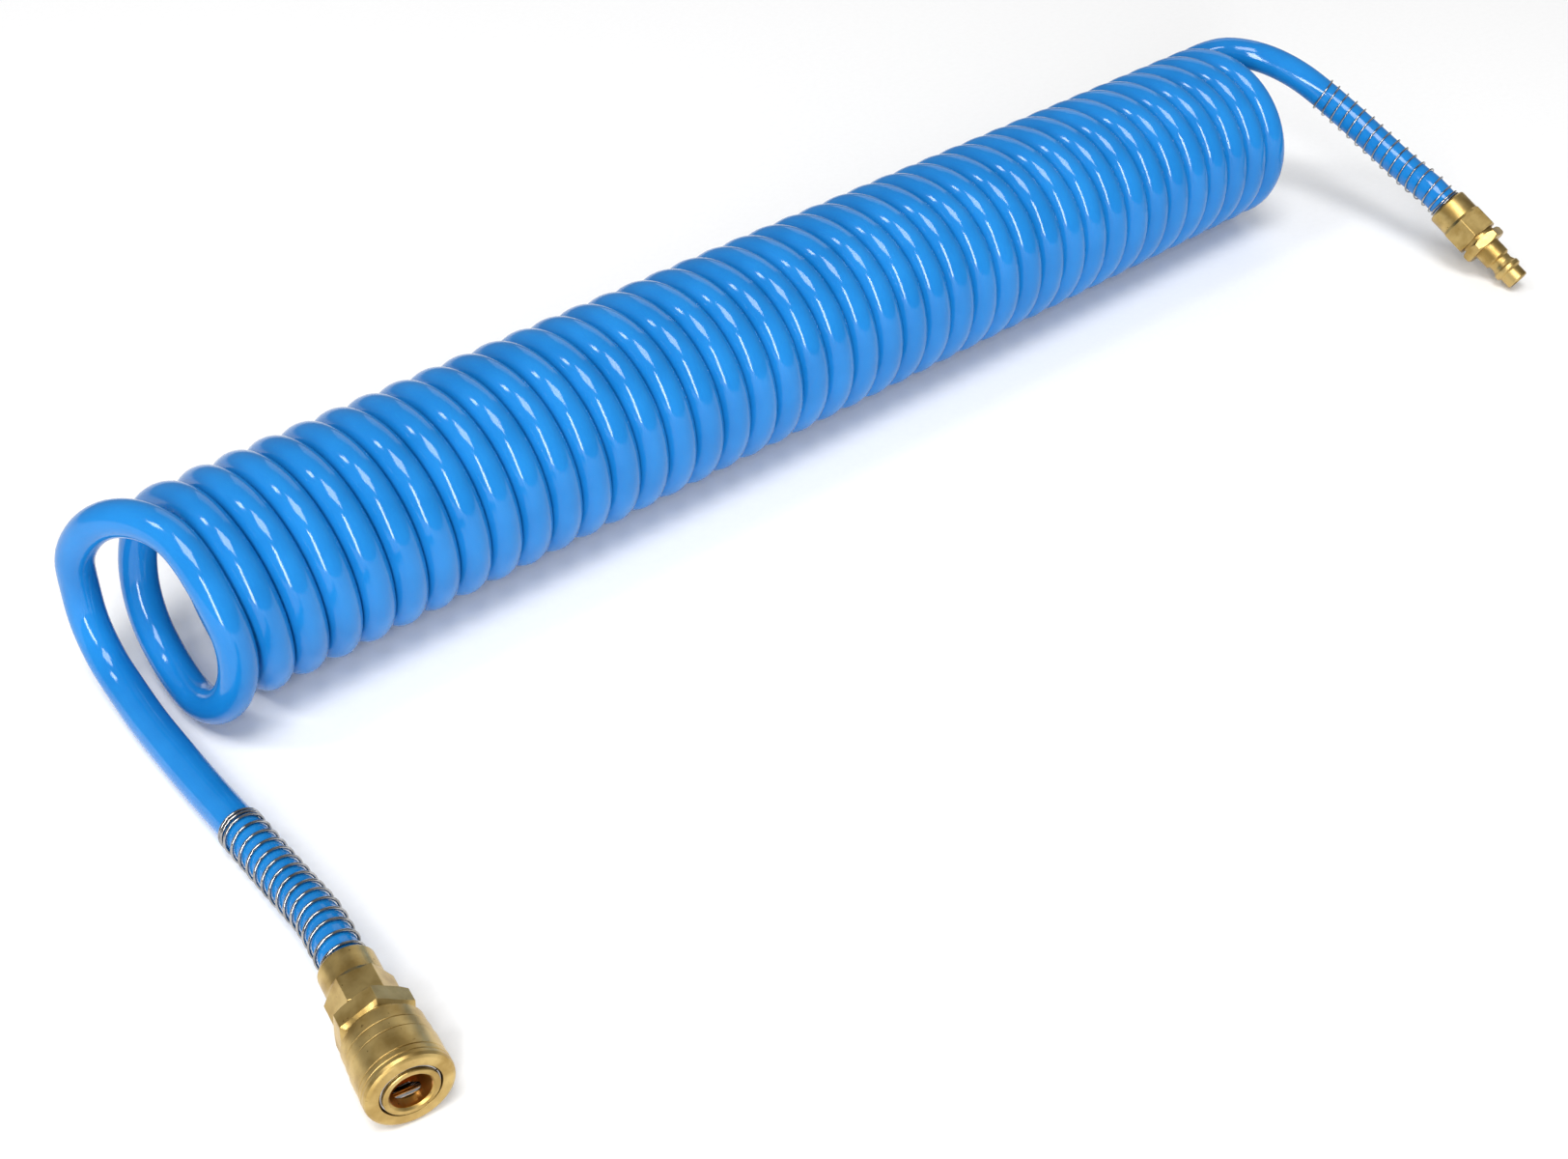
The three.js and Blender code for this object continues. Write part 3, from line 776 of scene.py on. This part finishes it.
def slot_cutter(angle):
    """The space that a pin sweeps in its slanted slot, as a closed solid."""
    clear = PIN_R + SLOT_CLEARANCE
    slope = math.atan2(PIN_LIFT, SLEEVE_TRAVEL)
    travel = math.hypot(SLEEVE_TRAVEL, PIN_LIFT) + SLOT_RUN_ON
    outline = []
    for start, shift in ((90, 0), (-90, travel)):
        for k in range(13):
            turn = slope + math.radians(start + 15 * k)
            outline.append((
                PIN_AT + shift * math.cos(slope) + clear * math.cos(turn),
                PIN_LOCKED_R + shift * math.sin(slope) + clear * math.sin(turn),
            ))
    mesh_build = bmesh.new()
    half = PIN_HALF + 0.3
    ends = [
        [mesh_build.verts.new(COUPLER @ in_slot_plane(angle, s, r, across)) for s, r in outline]
        for across in (-half, half)
    ]
    count = len(outline)
    for k in range(count):
        n = (k + 1) % count
        mesh_build.faces.new((ends[0][k], ends[0][n], ends[1][n], ends[1][k]))
    mesh_build.faces.new(ends[0])
    mesh_build.faces.new(ends[1])
    bmesh.ops.recalc_face_normals(mesh_build, faces=mesh_build.faces)
    mesh = bpy.data.meshes.new("slot_cutter")
    mesh_build.to_mesh(mesh)
    mesh_build.free()
    cutter = bpy.data.objects.new("slot_cutter", mesh)
    bpy.context.scene.collection.objects.link(cutter)
    return cutter


def cut_away(obj, cutters):
    """Cuts the cutters out of the object for good, and removes them."""
    for cutter in cutters:
        modifier = obj.modifiers.new("cut", "BOOLEAN")
        modifier.operation = "DIFFERENCE"
        modifier.solver = "EXACT"
        modifier.object = cutter
    graph = bpy.context.evaluated_depsgraph_get()
    mesh = bpy.data.meshes.new_from_object(obj.evaluated_get(graph))
    obj.modifiers.clear()
    obj.data = mesh
    for cutter in cutters:
        bpy.data.objects.remove(cutter)
    even_normals(obj)


def paint_bore_light(obj, place, radius):
    """Gives the faces nearer to the fitting's axis than radius a brighter, more orange brass: painted bounce
    light in the bore.
    """
    obj.data.materials.append(INNER_BRASS_PAINTED_LIGHT)
    to_fitting = place.inverted()
    for face in obj.data.polygons:
        centre = to_fitting @ face.center
        if math.hypot(centre.x, centre.y) < radius * MM and centre.z > 0.5 * MM:
            face.material_index = 1


def socket_body():
    thread_r = TAIL_FRONT_R - 1.6
    outline = [
        (0, 6.4), (0.6, BORE_R), (13.4, BORE_R), (13.4, 6.5), (15.8, 6.5), (15.8, CHAMBER_R), (23, CHAMBER_R),
        (23, thread_r), (TAIL_FRONT_AT + 0.4, thread_r), (TAIL_FRONT_AT + 0.4, SOCKET_R), (2.2, SOCKET_R),
        (2.2, 7.2), (1, 7.2), (1, SOCKET_R), (0.2, SOCKET_R), (0, SOCKET_R - 0.2),
    ]
    obj = turned("socket_turned", COUPLER, outline, TURNED_BRASS, 0.08)
    cut_away(obj, [slot_cutter(angle) for angle in PIN_ANGLES])
    # Painted bounce light: the bore's faces get a brighter, more orange brass.
    paint_bore_light(obj, COUPLER, BORE_R + 0.4)
    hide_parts("socket_body")
    return obj


def locking_pin(number, angle):
    outline = [
        (-PIN_HALF, 0), (-PIN_HALF, PIN_R - 0.25), (-PIN_HALF + 0.25, PIN_R), (PIN_HALF - 0.25, PIN_R),
        (PIN_HALF, PIN_R - 0.25), (PIN_HALF, 0),
    ]
    centre = in_slot_plane(angle, PIN_AT, PIN_LOCKED_R, 0)
    lie_across = Matrix.Rotation(math.radians(angle), 4, "Z") @ Matrix.Rotation(math.radians(-90), 4, "X")
    place = COUPLER @ Matrix.Translation(centre) @ lie_across
    obj = turned(f"pin_roller_{number}", place, outline, PIN_STEEL, 0.08, sides=48, closed=False)
    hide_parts(f"locking_pin_{number}")
    return obj


def circle_line(place, station, radius, start, end):
    """Line along an arc round the fitting's axis, from start to end in degrees."""
    steps = 96
    points = []
    for k in range(steps + 1):
        angle = math.radians(start + (end - start) * k / steps)
        points.append(place @ (Vector((radius * math.cos(angle), radius * math.sin(angle), station)) * MM))
    return Line(points)


def retaining_ring():
    start = RING_SPLIT_AT + RING_HALF_GAP
    end = RING_SPLIT_AT + 360 - RING_HALF_GAP
    line = circle_line(COUPLER, RING_AT, RING_R, start, end)
    obj = sweep("snap_ring", line, SNAP_RING_WIRE_R, 16, WIRE)
    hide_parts("retaining_ring")
    return obj


def coil_spring(name, radius, wire_r, start, end, turns, node):
    """Compression spring with closed end turns, along the coupler's axis."""
    points = []
    steps = 32
    closed = 0.8
    closed_pitch = 1.02
    total = round(turns * steps)
    for k in range(total + 1):
        turn = k / steps
        share = min(max((turn - closed) / (turns - 2 * closed), 0), 1)
        rise = 2 * wire_r * (min(turn, closed) + max(turn - turns + closed, 0)) * closed_pitch
        station = start + rise + share * (end - start - 2 * wire_r * (2 * closed) * closed_pitch)
        angle = 2 * math.pi * turn
        points.append(COUPLER @ (Vector((radius * math.cos(angle), radius * math.sin(angle), station)) * MM))
    obj = sweep(name, Line(points), wire_r * MM, 12, WIRE)
    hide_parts(node)
    return obj


def squash_spring(obj):
    """Gives a spring a mesh of its own."""
    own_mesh(obj)


def inner_parts():
    """Parts inside the coupler: thrust ring, seals and valve, each with its body."""
    thrust = turned("thrust_washer", COUPLER, [(6.8, 8.1), (7.7, 8.1), (7.7, 9.4), (6.8, 9.4)], WIRE, 0.1)
    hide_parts("thrust_ring")
    seal_outline = [(13.7, 4.9), (14.4, 4.4), (15.2, 4.4), (15.5, 4.9), (15.5, 6.2), (13.7, 6.2)]
    seal = turned("plug_seal_ring", COUPLER, seal_outline, RUBBER, 0.2)
    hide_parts("plug_seal")
    o_ring = turned("o_ring", COUPLER, [(23.3, 7), (24.4, 7), (24.4, 8.3), (23.3, 8.3)], RUBBER, 0.5)
    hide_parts("body_o_ring")
    poppet_outline = [
        (13.9, 0), (13.9, 3.1), (14.3, 3.5), (15.9, 3.5), (15.9, 5.3), (17.4, 5.3), (17.4, 1.6),
        (24, 1.6), (24, 0),
    ]
    # The valve disc takes the painted bounce light brass as well.
    poppet = turned("valve_disc", COUPLER, poppet_outline, INNER_BRASS_PAINTED_LIGHT, 0.12, closed=False)
    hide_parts("valve_poppet")
    return {thrust: "release_sleeve", seal: BASE, o_ring: BASE, poppet: "valve"}


def springs():
    """The sleeve's and the valve's return springs. Both stand on the coupler's fixed body."""
    sleeve_end = SLEEVE_SPRING_AT + SLEEVE_SPRING_LENGTH
    valve_end = VALVE_SPRING_AT + VALVE_SPRING_LENGTH
    sleeve = coil_spring(
        "sleeve_return_spring", 8.75, 0.45, SLEEVE_SPRING_AT, sleeve_end, 4.5, "sleeve_spring",
    )
    valve = coil_spring("valve_return_spring", 4.6, 0.4, VALVE_SPRING_AT, valve_end, 5, "valve_spring")
    return sleeve, valve


def plug_body():
    hex_to = PLUG_HEX_AT + PLUG_HEX_LENGTH
    corner_r = PLUG_HEX_AF / math.sqrt(3)
    outline = [
        (0, 3.4), (0.6, AIR_R), *stem(PLUG_NUT_AT), (hex_to, SPIGOT_R), (hex_to, corner_r - 1.0),
        (hex_to - 0.9, corner_r + 0.1), (PLUG_HEX_AT + 0.9, corner_r + 0.1), (PLUG_HEX_AT, corner_r - 1.0),
        (PLUG_HEX_AT, 5.4), (12.4, 5.4), (11.9, 5), (11.4, 4.45), (9.4, 4.4), (7.9, 5), (7.2, 5.6),
        (5.7, 5.6), (5.1, 4.9), (4.8, 4.5), (0.4, 4.5), (0, 4.2),
    ]
    hexagon = (PLUG_HEX_AT - 0.1, hex_to + 0.1, PLUG_HEX_AF, PLUG_HEX_TURN)
    obj = turned("plug_turned", PLUG, outline, TURNED_BRASS, 0.12, hexagon)
    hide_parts("plug_body")
    return obj


def build_hose():
    line = hose_line()
    hose = sweep("hose", line, HOSE_R, 28, BLUE)
    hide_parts("hose_coil", "hose_tail_coupler", "hose_tail_plug", "hose_end_coupler", "hose_end_plug")
    return hose, line


def build():
    add_camera()
    hose, line = build_hose()
    guards = bend_guards(line)
    nuts = [
        nut("coupler_nut_milled", COUPLER, COUPLER_NUT_AT, COUPLER_NUT_TURN, "coupler_nut"),
        nut("plug_nut_milled", PLUG, PLUG_NUT_AT, PLUG_NUT_TURN, "plug_nut"),
    ]
    plug = plug_body()
    fixed = [hose, *guards, *nuts, plug, coupler_tail_body(), socket_body(), retaining_ring()]
    bodies = {piece: BASE for piece in fixed}
    bodies[release_sleeve()] = "release_sleeve"
    for number, angle in enumerate(PIN_ANGLES, 1):
        bodies[locking_pin(number, angle)] = f"locking_pin_{number}"
    bodies.update(inner_parts())
    sleeve_spring, valve_spring = springs()
    bodies.update({sleeve_spring: BASE, valve_spring: BASE})
    for piece, body in bodies.items():
        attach(piece, body)
    squash_spring(sleeve_spring)
    squash_spring(valve_spring)
    line.length()
    add_world()
    add_floor()
    for name, softbox in SOFTBOXES.items():
        add_softbox(name, *softbox)


build()
